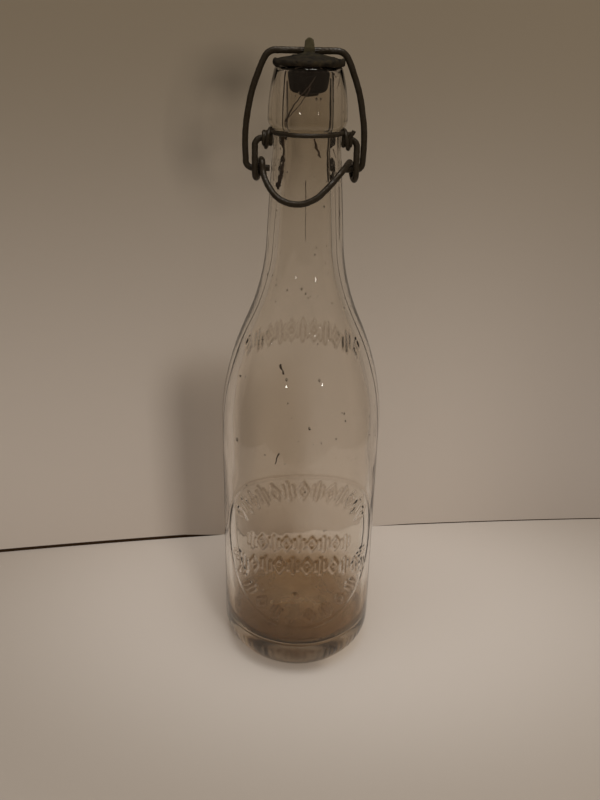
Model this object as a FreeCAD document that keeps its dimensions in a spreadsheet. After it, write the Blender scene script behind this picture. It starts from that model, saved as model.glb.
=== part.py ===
import math
import os

import FreeCAD
import Part
import Sketcher

Vector = FreeCAD.Vector

# A glass bottle with a blob finish, and the wire swing stopper that closes it.
# Millimetres. The origin is on the table under the bottle's axis, +Z is up and -Y is the front.
# Heights named drop_ are measured down from the top of the lip, so the closure follows the bottle.
SIZES = {
    # Glass
    "bottle_height": 235.0,
    "body_radius": 31.3,
    "push_up": 4.5,
    "rest_ring_width": 4.1,
    "foot_round": 3.0,
    "heel_round": 16.5,
    "heel_sink": 2.5,
    "shoulder_start": 101.0,
    "shoulder_round": 112.0,
    "hollow_round": 80.0,
    "neck_top_radius": 11.4,
    "neck_taper": 2.18,
    "neck_wall": 3.6,
    "blob_overhang": 2.2,
    "drop_blob": 16.5,
    "blob_under_round": 3.6,
    "blob_side_round": 58.0,
    "lip_outer_round": 0.9,
    "lip_inner_round": 2.0,
    "bore_length": 27.0,
    "wall": 4.0,
    "inner_heel_round": 9.0,
    "floor_thickness": 7.5,
    "floor_round": 110.0,
    # Neck wire
    "collar_wire": 1.5,
    "collar_gap": 0.08,
    "drop_eye": 22.9,
    "eye_back": 0.6,
    "eye_clearance": 0.12,
    "eye_pitch": 1.15,
    "eye_start": 0.15,
    # Lever and bail
    "wire": 2.2,
    "bend_round": 2.4,
    "pin_reach": 0.35,
    "leg_gap": 1.95,
    "lever_shift": 0.4,
    "drop_hinge": 33.0,
    "loop_gap": 0.3,
    "loop_hang": 1.1,
    "loop_shift": 2.6,
    "thumb_gap": 0.55,
    "drop_thumb": 42.6,
    "bail_side_gap": 0.5,
    "bail_belly": 0.4,
    "bail_shift": 0.9,
    "bail_tip_gap": 0.6,
    "drop_belly": 21.0,
    "brow_in": 2.2,
    "drop_brow": 8.5,
    "temple_in": 5.6,
    "temple_rise": 0.3,
    "bail_over_cap": 1.0,
    "bail_top_round": 4.2,
    # Stopper
    "cap_gap": 0.3,
    "cap_inset": 2.0,
    "cap_rim": 1.9,
    "cap_dome": 2.1,
    "post_base": 4.6,
    "post_top": 3.0,
    "post_depth": 5.6,
    "post_over_hole": 4.0,
    "hole_height": 4.5,
    "hole_clearance": 0.2,
    "stem_radius": 2.0,
    "stem_fit": 0.05,
    "button_radius": 3.4,
    "button_height": 1.1,
    "plug_clearance": 0.6,
    "plug_taper": 1.0,
    "plug_depth": 8.9,
    "plug_round": 2.0,
}

# Radii and heights that more than one piece takes from the same sizes, as formulas.
BORE = "neck_top_radius - neck_wall"
BLOB = "neck_top_radius + blob_overhang"
CAP = BLOB + " - cap_inset"
PLUG = BORE + " - plug_clearance"
PLUG_END = PLUG + " - plug_taper"
UNDER_CAP = "bottle_height + cap_gap"
HEEL_TOP = "heel_round - heel_sink"

doc = FreeCAD.newDocument("BlobTopBottle")
sheet = doc.addObject("Spreadsheet::Sheet", "Sizes")
for row, (word, value) in enumerate(SIZES.items(), start=1):
    sheet.set("A%d" % row, word)
    sheet.set("B%d" % row, str(value))
    sheet.setAlias("B%d" % row, word)
doc.recompute()


def size(word):
    """A driving dimension, read from the sheet."""
    return float(getattr(sheet, word))


def origin_plane(body, role):
    """One of the body's own origin planes or axes."""
    for feature in body.Origin.OriginFeatures:
        if feature.Role == role:
            return feature
    raise RuntimeError("no origin feature " + role)


def new_sketch(body, name, role):
    """A sketch on one of the body's own origin planes."""
    sketch = body.newObject("Sketcher::SketchObject", name)
    sketch.AttachmentSupport = (origin_plane(body, role), [""])
    sketch.MapMode = "FlatFace"
    return sketch


def value_of(formula):
    """What a sum of size words comes to. A term may be multiplied or divided by numbers."""
    total = 0.0
    term = 0.0
    sign = 1.0
    action = "+"
    for word in formula.split():
        if word in ("+", "-", "*", "/"):
            action = word
            continue
        number = size(word) if word in SIZES else float(word)
        if action == "*":
            term = term * number
        elif action == "/":
            term = term / number
        else:
            total = total + sign * term
            sign = -1.0 if action == "-" else 1.0
            term = number
    return total + sign * term


def on_sheet(formula):
    """The same formula as an expression that reads the sheet."""
    return " ".join("Sizes." + word if word in SIZES else word for word in formula.split())


def bound(sketch, kind, items, formula):
    """A driving constraint bound to the sheet by a formula in size words."""
    index = sketch.addConstraint(Sketcher.Constraint(kind, *items, value_of(formula)))
    name = "%s%d" % (kind, index)
    sketch.renameConstraint(index, name)
    sketch.setExpression("Constraints." + name, on_sheet(formula))


def polygon(sketch, corners):
    """A closed outline through corners given as pairs of formulas, all at x >= 0."""
    spots = [Vector(value_of(across), value_of(up), 0) for across, up in corners]
    for index, spot in enumerate(spots):
        sketch.addGeometry(Part.LineSegment(spot, spots[(index + 1) % len(spots)]), False)
    for index, (across, up) in enumerate(corners):
        sketch.addConstraint(Sketcher.Constraint("Coincident", index - 1 if index else len(corners) - 1, 2,
                                                 index, 1))
        if across == "0":
            sketch.addConstraint(Sketcher.Constraint("PointOnObject", index, 1, -2))
        else:
            bound(sketch, "DistanceX", (-1, 1, index, 1), across)
        bound(sketch, "DistanceY", (-1, 1, index, 1), up)


def turned(body, name, sketch):
    """The sketch turned once round the vertical axis."""
    feature = body.newObject("PartDesign::Revolution", name)
    feature.Profile = sketch
    feature.ReferenceAxis = (sketch, ["V_Axis"])
    feature.Angle = 360
    doc.recompute()
    return feature


def rounded_rims(body, name, feature, rims, radius):
    """A fillet on the round edges at the given (radius, height) formulas."""
    wanted = [(value_of(across), value_of(up)) for across, up in rims]
    edges = []
    for number, edge in enumerate(feature.Shape.Edges, start=1):
        if not isinstance(edge.Curve, Part.Circle):
            continue
        spot = (edge.Curve.Radius, edge.Curve.Center.z)
        if any(math.dist(spot, want) < 0.001 for want in wanted):
            edges.append("Edge%d" % number)
    fillet = body.newObject("PartDesign::Fillet", name)
    fillet.Base = (feature, edges)
    fillet.setExpression("Radius", on_sheet(radius))
    doc.recompute()
    return fillet


def arc_between(centre, first, last, clockwise=False):
    """An arc in the sketch plane, anticlockwise unless told otherwise."""
    radius = (first - centre).Length
    start = math.atan2(first.y - centre.y, first.x - centre.x)
    end = math.atan2(last.y - centre.y, last.x - centre.x)
    if clockwise:
        start, end = end, start
    circle = Part.Circle(Vector(centre.x, centre.y, 0), Vector(0, 0, 1), radius)
    return Part.ArcOfCircle(circle, start, end)


def tangent_point(point, centre, radius):
    """Where a line from the point, running down the neck, touches the circle."""
    gap = centre - point
    reach = math.sqrt(gap.Length ** 2 - radius ** 2)
    direction = math.atan2(gap.y, gap.x) - math.asin(radius / gap.Length)
    return point + Vector(math.cos(direction), math.sin(direction), 0) * reach


def toward(start, end, distance):
    """The point at a distance from start, on the way to end."""
    return start + (end - start).normalize() * distance


def glass_points():
    """Corners and arc centres of the glass profile, as (radius, height) in the sketch plane."""
    spot = {}
    height = size("bottle_height")
    body = size("body_radius")
    heel = size("heel_round")
    foot = size("foot_round")
    heel_top = value_of(HEEL_TOP)
    spot["heel_centre"] = Vector(body - heel, heel_top, 0)
    foot_x = body - heel + math.sqrt((heel - foot) ** 2 - (heel_top - foot) ** 2)
    spot["foot_centre"] = Vector(foot_x, foot, 0)
    spot["ring_outer"] = Vector(foot_x, 0, 0)
    spot["foot_end"] = toward(spot["heel_centre"], spot["foot_centre"], heel)
    spot["heel_end"] = Vector(body, heel_top, 0)
    ring = foot_x - size("rest_ring_width")
    rise = size("push_up")
    dome = (ring ** 2 + rise ** 2) / (2 * rise)
    spot["dome_centre"] = Vector(0, rise - dome, 0)
    spot["dome_top"] = Vector(0, rise, 0)
    spot["ring_inner"] = Vector(ring, 0, 0)

    start = size("shoulder_start")
    crown = size("shoulder_round")
    hollow = size("hollow_round")
    spot["wall_end"] = Vector(body, start, 0)
    spot["crown_centre"] = Vector(body - crown, start, 0)
    hollow_x = value_of("neck_top_radius + neck_taper + hollow_round")
    hollow_z = start + math.sqrt((crown + hollow) ** 2 - (hollow_x - body + crown) ** 2)
    spot["hollow_centre"] = Vector(hollow_x, hollow_z, 0)
    spot["crown_end"] = toward(spot["crown_centre"], spot["hollow_centre"], crown)

    under = size("blob_under_round")
    widest = height - size("drop_blob")
    blob = value_of(BLOB)
    spot["under_centre"] = Vector(blob - under, widest, 0)
    across = size("neck_top_radius") - spot["under_centre"].x
    spot["neck_top"] = Vector(size("neck_top_radius"), widest - math.sqrt(under ** 2 - across ** 2), 0)
    spot["hollow_end"] = tangent_point(spot["neck_top"], spot["hollow_centre"], hollow)
    side = size("blob_side_round")
    outer = size("lip_outer_round")
    spot["widest"] = Vector(blob, widest, 0)
    spot["side_centre"] = Vector(blob - side, widest, 0)
    above = size("drop_blob") - outer
    lip_x = spot["side_centre"].x + math.sqrt((side - outer) ** 2 - above ** 2)
    spot["lip_outer_centre"] = Vector(lip_x, height - outer, 0)
    spot["side_end"] = toward(spot["side_centre"], spot["lip_outer_centre"], side)
    spot["lip_outer"] = Vector(lip_x, height, 0)

    bore = value_of(BORE)
    inner = size("lip_inner_round")
    wall = size("wall")
    spot["lip_inner"] = Vector(bore + inner, height, 0)
    spot["lip_inner_centre"] = Vector(bore + inner, height - inner, 0)
    spot["bore_top"] = Vector(bore, height - inner, 0)
    spot["bore_end"] = Vector(bore, height - size("bore_length"), 0)
    spot["inner_hollow_start"] = tangent_point(spot["bore_end"], spot["hollow_centre"], hollow + wall)
    spot["inner_crown_end"] = toward(spot["crown_centre"], spot["crown_end"], crown - wall)
    spot["inner_wall_top"] = Vector(body - wall, start, 0)
    low = size("inner_heel_round")
    floor_radius = size("floor_round")
    floor_z = size("push_up") + size("floor_thickness")
    spot["floor_middle"] = Vector(0, floor_z, 0)
    spot["floor_centre"] = Vector(0, floor_z - floor_radius, 0)
    low_x = body - wall - low
    low_z = spot["floor_centre"].y + math.sqrt((floor_radius + low) ** 2 - low_x ** 2)
    spot["low_centre"] = Vector(low_x, low_z, 0)
    spot["inner_wall_low"] = Vector(body - wall, low_z, 0)
    spot["floor_edge"] = toward(spot["floor_centre"], spot["low_centre"], floor_radius)
    return spot


def make_bottle():
    """The blown glass, one profile turned once round the axis."""
    body = doc.addObject("PartDesign::Body", "Bottle")
    body.Label = "bottle"
    sketch = new_sketch(body, "GlassProfile", "XZ_Plane")
    spot = glass_points()

    def line(first, last):
        return sketch.addGeometry(Part.LineSegment(spot[first], spot[last]), False)

    def arc(centre, first, last, clockwise=False):
        return sketch.addGeometry(arc_between(spot[centre], spot[first], spot[last], clockwise), False)

    dome = arc("dome_centre", "dome_top", "ring_inner", True)
    rest = line("ring_inner", "ring_outer")
    foot = arc("foot_centre", "ring_outer", "foot_end")
    heel = arc("heel_centre", "foot_end", "heel_end")
    wall = line("heel_end", "wall_end")
    crown = arc("crown_centre", "wall_end", "crown_end")
    hollow = arc("hollow_centre", "crown_end", "hollow_end", True)
    neck = line("hollow_end", "neck_top")
    under = arc("under_centre", "neck_top", "widest")
    side = arc("side_centre", "widest", "side_end")
    lip_outer = arc("lip_outer_centre", "side_end", "lip_outer")
    lip = line("lip_outer", "lip_inner")
    lip_inner = arc("lip_inner_centre", "lip_inner", "bore_top")
    bore = line("bore_top", "bore_end")
    inner_neck = line("bore_end", "inner_hollow_start")
    inner_hollow = arc("hollow_centre", "inner_hollow_start", "inner_crown_end")
    inner_crown = arc("crown_centre", "inner_crown_end", "inner_wall_top", True)
    inner_wall = line("inner_wall_top", "inner_wall_low")
    low = arc("low_centre", "inner_wall_low", "floor_edge", True)
    floor = arc("floor_centre", "floor_edge", "floor_middle")
    axis = line("floor_middle", "dome_top")

    # Each joint is (first edge, its end, next edge, its end); 1 is an edge's start and 2 its end.
    # A clockwise arc is stored the other way round, so its ends are swapped.
    corners = [(dome, 1, rest, 1), (under, 1, neck, 2), (bore, 2, inner_neck, 1), (floor, 2, axis, 1),
               (axis, 2, dome, 2)]
    smooth = [(rest, 2, foot, 1), (foot, 2, heel, 1), (heel, 2, wall, 1), (wall, 2, crown, 1),
              (crown, 2, hollow, 2), (hollow, 1, neck, 1), (under, 2, side, 1), (side, 2, lip_outer, 1),
              (lip_outer, 2, lip, 1), (lip, 2, lip_inner, 1), (lip_inner, 2, bore, 1), (inner_neck, 2, inner_hollow, 1),
              (inner_hollow, 2, inner_crown, 2), (inner_crown, 1, inner_wall, 1), (inner_wall, 2, low, 2),
              (low, 1, floor, 1)]
    for first, first_end, second, second_end in corners:
        sketch.addConstraint(Sketcher.Constraint("Coincident", first, first_end, second, second_end))
    for first, first_end, second, second_end in smooth:
        sketch.addConstraint(Sketcher.Constraint("Tangent", first, first_end, second, second_end))
    for upright in (wall, bore, inner_wall):
        sketch.addConstraint(Sketcher.Constraint("Vertical", upright))
    for level in (rest, lip):
        sketch.addConstraint(Sketcher.Constraint("Horizontal", level))
    for on_axis, end in ((dome, 3), (floor, 3), (axis, 1), (axis, 2)):
        sketch.addConstraint(Sketcher.Constraint("PointOnObject", on_axis, end, -2))
    sketch.addConstraint(Sketcher.Constraint("PointOnObject", rest, 1, -1))
    sketch.addConstraint(Sketcher.Constraint("Horizontal", side, 3, side, 1))
    sketch.addConstraint(Sketcher.Constraint("Horizontal", hollow, 3, inner_hollow, 3))
    sketch.addConstraint(Sketcher.Constraint("Coincident", crown, 3, inner_crown, 3))

    for edge, formula in ((foot, "foot_round"), (heel, "heel_round"), (crown, "shoulder_round"),
                          (hollow, "hollow_round"), (under, "blob_under_round"),
                          (side, "blob_side_round"), (lip_outer, "lip_outer_round"),
                          (lip_inner, "lip_inner_round"), (inner_hollow, "hollow_round + wall"),
                          (inner_crown, "shoulder_round - wall"), (low, "inner_heel_round"),
                          (floor, "floor_round")):
        bound(sketch, "Radius", (edge,), formula)
    bound(sketch, "DistanceX", (rest, 1, rest, 2), "rest_ring_width")
    for edge, end, formula in ((wall, 1, "body_radius"), (neck, 2, "neck_top_radius"), (side, 1, BLOB),
                               (hollow, 3, "neck_top_radius + neck_taper + hollow_round"),
                               (bore, 1, BORE)):
        bound(sketch, "DistanceX", (-1, 1, edge, end), formula)
    for edge, end, formula in ((axis, 2, "push_up"), (wall, 1, HEEL_TOP), (wall, 2, "shoulder_start"),
                               (side, 1, "bottle_height - drop_blob"), (lip, 1, "bottle_height"),
                               (bore, 2, "bottle_height - bore_length"),
                               (axis, 1, "push_up + floor_thickness")):
        bound(sketch, "DistanceY", (-1, 1, edge, end), formula)

    turned(body, "BlownGlass", sketch)
    return body


def neck_radius(height):
    """Outer radius of the straight part of the neck at a height."""
    spot = glass_points()
    low, top = spot["hollow_end"], spot["neck_top"]
    return top.x + (low.x - top.x) * (top.y - height) / (top.y - low.y)


def collar_height():
    """Height of the wire ring, close under the blob."""
    return glass_points()["neck_top"].y - size("collar_wire") / 2 - size("collar_gap")


def eye_height():
    return size("bottle_height") - size("drop_eye")


def eye_places():
    """Distances of the coil's three turns from the bottle's axis."""
    first = neck_radius(eye_height()) + size("collar_wire") / 2 + size("eye_start")
    return [first + turn * size("eye_pitch") for turn in range(3)]


def make_neck_wire():
    """The wire ring under the blob, with a three-turn coiled eye at each side."""
    ring = doc.addObject("Part::Torus", "CollarRing")
    ring.Radius1 = neck_radius(collar_height()) + size("collar_wire") / 2 + size("collar_gap")
    ring.setExpression("Radius2", "Sizes.collar_wire / 2")
    ring.Placement = FreeCAD.Placement(Vector(0, 0, collar_height()), FreeCAD.Rotation())
    turns = [ring]
    sideways = FreeCAD.Rotation(Vector(0, 1, 0), 90)
    for side in (-1, 1):
        for place in eye_places():
            turn = doc.addObject("Part::Torus", "EyeTurn")
            turn.setExpression("Radius1", "Sizes.wire / 2 + Sizes.eye_clearance + Sizes.collar_wire / 2")
            turn.setExpression("Radius2", "Sizes.collar_wire / 2")
            turn.Placement = FreeCAD.Placement(Vector(side * place, -size("eye_back"), eye_height()), sideways)
            turns.append(turn)
    wire = doc.addObject("Part::MultiFuse", "NeckWire")
    wire.Shapes = turns
    wire.Label = "neck_wire"
    return wire


def rounded_path(points, rounds):
    """Straight runs joined by tangent arcs, with one radius for each inner point."""
    edges = []
    start = points[0]
    for before, here, after, radius in zip(points, points[1:], points[2:], rounds):
        into = (here - before).normalize()
        out = (after - here).normalize()
        turn = into.getAngle(out)
        reach = radius * math.tan(turn / 2)
        first = here - into * reach
        last = here + out * reach
        middle = here + (out - into).normalize() * (radius / math.cos(turn / 2) - radius)
        edges.append(Part.LineSegment(start, first).toShape())
        edges.append(Part.Arc(first, middle, last).toShape())
        start = last
    edges.append(Part.LineSegment(start, points[-1]).toShape())
    return Part.Wire(edges)


def bent_wire(points, rounds, diameter):
    """A round wire swept along a rounded path."""
    path = rounded_path(points, rounds)
    circle = Part.makeCircle(diameter / 2, points[0], points[1] - points[0])
    tube = path.makePipeShell([Part.Wire([circle])], True, False)
    if tube.ShapeType != "Solid":
        tube = tube.Solids[0]
    section = math.pi * diameter ** 2 / 4
    if abs(tube.Volume - section * path.Length) > 0.01 * tube.Volume:
        raise RuntimeError("a bent wire's volume is not its section times its length")
    return tube


def easy_round(before, here, after):
    """The largest gentle radius that two runs leave room for."""
    turn = (here - before).getAngle(after - here)
    shorter = min((here - before).Length, (after - here).Length)
    return 0.45 * shorter / math.tan(turn / 2)


def leg_place():
    """Distance of the lever's leg from the bottle's axis, outside the coil."""
    return eye_places()[-1] + size("collar_wire") / 2 + size("leg_gap")


def hinge_height():
    return size("bottle_height") - size("drop_hinge")


def make_lever():
    """One wire: pins in the eyes, a loop round each pin of the bail and the thumb loop in front."""
    wire = size("wire")
    tight = size("bend_round")
    pin_y = -size("eye_back")
    pin_z = eye_height()
    tip = neck_radius(pin_z) + size("pin_reach")
    leg = leg_place()
    clear = wire + size("loop_gap")
    low = hinge_height() - wire - size("loop_hang")
    top = hinge_height() + clear + size("loop_gap")
    thumb_z = size("bottle_height") - size("drop_thumb")
    around = neck_radius(thumb_z) + wire / 2 + size("thumb_gap")

    def half(side):
        """Pin, leg and loop of one side, from the pin's tip to the top of the loop."""
        step = size("loop_shift") / 3
        spots = [(tip, pin_y, pin_z), (leg, pin_y, pin_z), (leg, pin_y - clear, low),
                 (leg - step, clear, low), (leg - 2 * step, clear, top)]
        return [Vector(side * (x if x == tip else x - side * size("lever_shift")), y, z) for x, y, z in spots]

    def on_neck(angle, rise, out):
        """A point of the thumb loop: degrees from the front, height over its lowest point, extra reach."""
        turn = math.radians(angle)
        return Vector((around + out) * math.sin(turn), -(around + out) * math.cos(turn), thumb_z + rise)

    # The photograph shows the thumb loop pushed to one side, with the other arm long and nearly straight.
    thumb = [on_neck(54, 10.7, 0.9), on_neck(34, 6.3, 0.3), on_neck(15.5, 2.1, 0.2), on_neck(-3.5, 0.0, 0.1),
             on_neck(-24, 0.0, 0.3), on_neck(-43, 1.7, 0.6), on_neck(-61, 5.2, 0.8), on_neck(-74, 8.2, 1.1)]
    left_top = Vector(-(leg - size("loop_shift")) - size("lever_shift"), -clear, top)
    right, left = half(1), half(-1)[::-1]
    points = right + thumb + [left_top] + left
    rounds = [tight] * (len(right) - 1)
    for index in range(len(right), len(right) + len(thumb)):
        rounds.append(easy_round(*points[index - 1:index + 2]))
    rounds += [tight] * len(left)
    lever = doc.addObject("Part::Feature", "Lever")
    lever.Label = "lever"
    lever.Shape = bent_wire(points, rounds, wire)
    lever.Placement = FreeCAD.Placement()
    return lever


def make_bail():
    """One wire in a plane: pins in the lever's loops, two bowed sides and the bar through the post."""
    wire = size("wire")
    lip = size("bottle_height")
    bar_z = lip + size("cap_gap") + size("hole_height")
    tip = neck_radius(hinge_height()) + size("bail_tip_gap")
    corner = leg_place() + wire + size("bail_side_gap")
    belly = corner + size("bail_belly")
    top_half = value_of(CAP + " + bail_over_cap")
    shift = -size("bail_shift")

    def half(side):
        """Half of the bail, from the pin's tip to the corner beside the cap."""
        return [Vector(side * tip, 0, hinge_height()),
                Vector(side * corner + shift, 0, hinge_height()),
                Vector(side * belly + shift, 0, lip - size("drop_belly")),
                Vector(side * (belly - size("brow_in")) + shift, 0, lip - size("drop_brow")),
                Vector(side * (belly - size("temple_in")) + shift, 0, lip + size("temple_rise")),
                Vector(side * top_half + shift, 0, bar_z)]

    right, left = half(1), half(-1)[::-1]
    points = right + left
    gentle = [easy_round(*points[index - 1:index + 2]) for index in (2, 3, 4)]
    rounds = [size("bend_round")] + gentle + [size("bail_top_round")]
    bail = doc.addObject("Part::Feature", "Bail")
    bail.Label = "bail"
    bail.Shape = bent_wire(points, rounds + rounds[::-1], wire)
    bail.Placement = FreeCAD.Placement()
    return bail


def make_stopper_cap():
    """The cast cap: disc and dome, post with a cross hole for the bail, stem and button."""
    body = doc.addObject("PartDesign::Body", "StopperCap")
    body.Label = "stopper_cap"
    dome_top = UNDER_CAP + " + cap_rim + cap_dome"
    rim_top = UNDER_CAP + " + cap_rim"
    plug_end = UNDER_CAP + " - plug_depth"
    button_end = plug_end + " - button_height"
    profile = new_sketch(body, "CapProfile", "XZ_Plane")
    polygon(profile, [("0", dome_top), ("post_base / 2", dome_top), (CAP + " - cap_rim / 2", rim_top),
                      (CAP, rim_top), (CAP, UNDER_CAP), ("stem_radius", UNDER_CAP),
                      ("stem_radius", plug_end), ("button_radius", plug_end), ("button_radius", button_end),
                      ("0", button_end)])
    disc = turned(body, "CapDisc", profile)
    disc = rounded_rims(body, "RimRound", disc, [(CAP, rim_top), (CAP, UNDER_CAP)],
                        "cap_rim * 0.35")
    rounded_rims(body, "ButtonRound", disc, [("button_radius", button_end)], "button_height / 2")

    outline = new_sketch(body, "PostOutline", "XZ_Plane")
    crest_middle = UNDER_CAP + " + hole_height + post_over_hole - post_top / 2"
    low_z, high_z = value_of(rim_top), value_of(crest_middle)
    wide, narrow = size("post_base") / 2, size("post_top") / 2
    foot = outline.addGeometry(Part.LineSegment(Vector(-wide, low_z, 0), Vector(wide, low_z, 0)), False)
    right = outline.addGeometry(Part.LineSegment(Vector(wide, low_z, 0), Vector(narrow, high_z, 0)), False)
    crest = outline.addGeometry(arc_between(Vector(0, high_z, 0), Vector(narrow, high_z, 0),
                                            Vector(-narrow, high_z, 0)), False)
    left = outline.addGeometry(Part.LineSegment(Vector(-narrow, high_z, 0), Vector(-wide, low_z, 0)), False)
    for first, first_end, second, second_end in ((foot, 2, right, 1), (right, 2, crest, 1),
                                                 (crest, 2, left, 1), (left, 2, foot, 1)):
        outline.addConstraint(Sketcher.Constraint("Coincident", first, first_end, second, second_end))
    outline.addConstraint(Sketcher.Constraint("Symmetric", foot, 1, foot, 2, -2))
    outline.addConstraint(Sketcher.Constraint("PointOnObject", crest, 3, -2))
    outline.addConstraint(Sketcher.Constraint("Horizontal", crest, 3, crest, 1))
    outline.addConstraint(Sketcher.Constraint("Horizontal", crest, 3, crest, 2))
    bound(outline, "DistanceX", (foot, 1, foot, 2), "post_base")
    bound(outline, "Radius", (crest,), "post_top / 2")
    bound(outline, "DistanceY", (-1, 1, foot, 1), rim_top)
    bound(outline, "DistanceY", (-1, 1, crest, 3), crest_middle)
    post = body.newObject("PartDesign::Pad", "Post")
    post.Profile = outline
    post.SideType = "Symmetric"
    post.setExpression("Length", "Sizes.post_depth")

    hole = new_sketch(body, "BailHole", "YZ_Plane")
    hole_middle = UNDER_CAP + " + hole_height"
    hole_radius = "wire / 2 + hole_clearance"
    circle = hole.addGeometry(Part.Circle(Vector(0, value_of(hole_middle), 0), Vector(0, 0, 1),
                                          value_of(hole_radius)), False)
    hole.addConstraint(Sketcher.Constraint("PointOnObject", circle, 3, -2))
    bound(hole, "Radius", (circle,), hole_radius)
    bound(hole, "DistanceY", (-1, 1, circle, 3), hole_middle)
    cut = body.newObject("PartDesign::Pocket", "CrossHole")
    cut.Profile = hole
    cut.SideType = "Symmetric"
    cut.setExpression("Length", "2 * ( %s )" % on_sheet(CAP))
    return body


def make_rubber_plug():
    """The rubber plug on the stem, tapered to a rounded end."""
    body = doc.addObject("PartDesign::Body", "RubberPlug")
    body.Label = "rubber_plug"
    end = UNDER_CAP + " - plug_depth"
    profile = new_sketch(body, "PlugProfile", "XZ_Plane")
    polygon(profile, [("stem_radius + stem_fit", UNDER_CAP), (PLUG, UNDER_CAP),
                      (PLUG_END, end), ("stem_radius + stem_fit", end)])
    plug = turned(body, "TurnedPlug", profile)
    rounded_rims(body, "PlugRound", plug, [(PLUG_END, end)], "plug_round")
    return body


parts = [make_bottle(), make_neck_wire(), make_lever(), make_bail(), make_stopper_cap(), make_rubber_plug()]
doc.recompute()

for item in doc.Objects:
    if "Invalid" in item.State or "Error" in item.State:
        raise RuntimeError("%s failed: %s" % (item.Label, item.State))
for part in parts:
    if part.Shape.isNull() or not part.Shape.isValid() or len(part.Shape.Solids) != 1:
        raise RuntimeError("%s is not one valid solid" % part.Label)

os.makedirs("parts", exist_ok=True)
for part in parts:
    part.Shape.exportStep("parts/%s.step" % part.Label)
    print("%-12s %9.1f mm3" % (part.Label, part.Shape.Volume))
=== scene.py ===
# Looks of a clear glass blob top bottle with its wire swing stopper closed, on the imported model.
import math
import random

import bmesh
import bpy
import numpy as np
from mathutils import Euler, Matrix, Vector, noise


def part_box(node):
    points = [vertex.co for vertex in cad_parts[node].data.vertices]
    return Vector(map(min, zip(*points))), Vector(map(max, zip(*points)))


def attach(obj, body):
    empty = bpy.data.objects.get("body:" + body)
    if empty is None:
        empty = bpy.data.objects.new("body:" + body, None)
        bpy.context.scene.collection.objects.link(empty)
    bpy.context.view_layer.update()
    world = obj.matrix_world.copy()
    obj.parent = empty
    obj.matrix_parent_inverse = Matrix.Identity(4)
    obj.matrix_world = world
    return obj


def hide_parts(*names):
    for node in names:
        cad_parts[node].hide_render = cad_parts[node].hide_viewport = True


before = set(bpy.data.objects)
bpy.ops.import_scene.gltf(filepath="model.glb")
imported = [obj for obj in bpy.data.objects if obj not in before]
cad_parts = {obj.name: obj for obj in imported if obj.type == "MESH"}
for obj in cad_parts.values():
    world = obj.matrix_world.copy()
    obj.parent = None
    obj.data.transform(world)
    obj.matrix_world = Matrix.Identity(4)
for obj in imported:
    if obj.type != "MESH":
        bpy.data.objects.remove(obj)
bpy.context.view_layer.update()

# The bottle.
# One piece of soda-lime glass, blown in a two-part mould with the blob finish tooled on last. The raised
# marks and the plate's rim came from the mould. The inside follows the breath alone, so the wall wanders.
MM = 0.001
BODY_RADIUS = 31.3
PUSH_UP = 4.5
REST_RING = 4.1
FOOT_ROUND = 3.0
HEEL_ROUND = 16.5
HEEL_TOP = 14.0
SHOULDER_START = 101.0
SHOULDER_ROUND = 112.0
HOLLOW_ROUND = 80.0
NECK_TOP_RADIUS = 11.4
NECK_TAPER = 2.18
BLOB_RADIUS = 13.6
BLOB_WIDEST = 218.5
BLOB_UNDER_ROUND = 3.6
BLOB_SIDE_ROUND = 58.0
LIP_OUTER_ROUND = 0.9
LIP_INNER_ROUND = 2.0
BOTTLE_HEIGHT = 235.0
BORE_RADIUS = 7.8
BORE_END = 208.0
WALL = 4.0
INNER_HEEL_ROUND = 9.0
FLOOR_MIDDLE = 12.0
FLOOR_ROUND = 110.0
PLAIN_PITCH = 2.0
MARKED_PITCH = 0.6


def bearing(centre, point):
    """Direction from a centre to a point of the profile, in radians."""
    return math.atan2(point[1] - centre[1], point[0] - centre[0])


def arc(centre, radius, start, end, pitch=PLAIN_PITCH):
    """Points on a circle after its start, as (radius, height), up to and with its end."""
    steps = max(3, math.ceil(abs(end - start) * radius / pitch))
    turns = [start + (end - start) * step / steps for step in range(1, steps + 1)]
    return [(centre[0] + radius * math.cos(turn), centre[1] + radius * math.sin(turn)) for turn in turns]


def run(start, end, pitch=PLAIN_PITCH):
    """Points on a straight stretch after its start, up to and with its end."""
    steps = max(1, math.ceil(math.dist(start, end) / pitch))
    return [(start[0] + (end[0] - start[0]) * step / steps, start[1] + (end[1] - start[1]) * step / steps)
            for step in range(1, steps + 1)]


def tangent_bearing(point, centre, radius):
    """Bearing, from the circle's centre, of where a line down the neck from the point touches it."""
    return bearing(centre, point) + math.acos(radius / math.dist(point, centre))


heel_centre = (BODY_RADIUS - HEEL_ROUND, HEEL_TOP)
foot_reach = math.sqrt((HEEL_ROUND - FOOT_ROUND) ** 2 - (HEEL_TOP - FOOT_ROUND) ** 2)
foot_centre = (heel_centre[0] + foot_reach, FOOT_ROUND)
ring_inner = foot_centre[0] - REST_RING
dome_radius = (ring_inner ** 2 + PUSH_UP ** 2) / (2 * PUSH_UP)
dome_centre = (0, PUSH_UP - dome_radius)
foot_turn = bearing(heel_centre, foot_centre)
crown_centre = (BODY_RADIUS - SHOULDER_ROUND, SHOULDER_START)
hollow_x = NECK_TOP_RADIUS + NECK_TAPER + HOLLOW_ROUND
hollow_rise = math.sqrt((SHOULDER_ROUND + HOLLOW_ROUND) ** 2 - (hollow_x - crown_centre[0]) ** 2)
hollow_centre = (hollow_x, SHOULDER_START + hollow_rise)
crown_turn = bearing(crown_centre, hollow_centre)
under_centre = (BLOB_RADIUS - BLOB_UNDER_ROUND, BLOB_WIDEST)
under_turn = -math.acos((NECK_TOP_RADIUS - under_centre[0]) / BLOB_UNDER_ROUND)
neck_top = (NECK_TOP_RADIUS, BLOB_WIDEST + BLOB_UNDER_ROUND * math.sin(under_turn))
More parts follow.
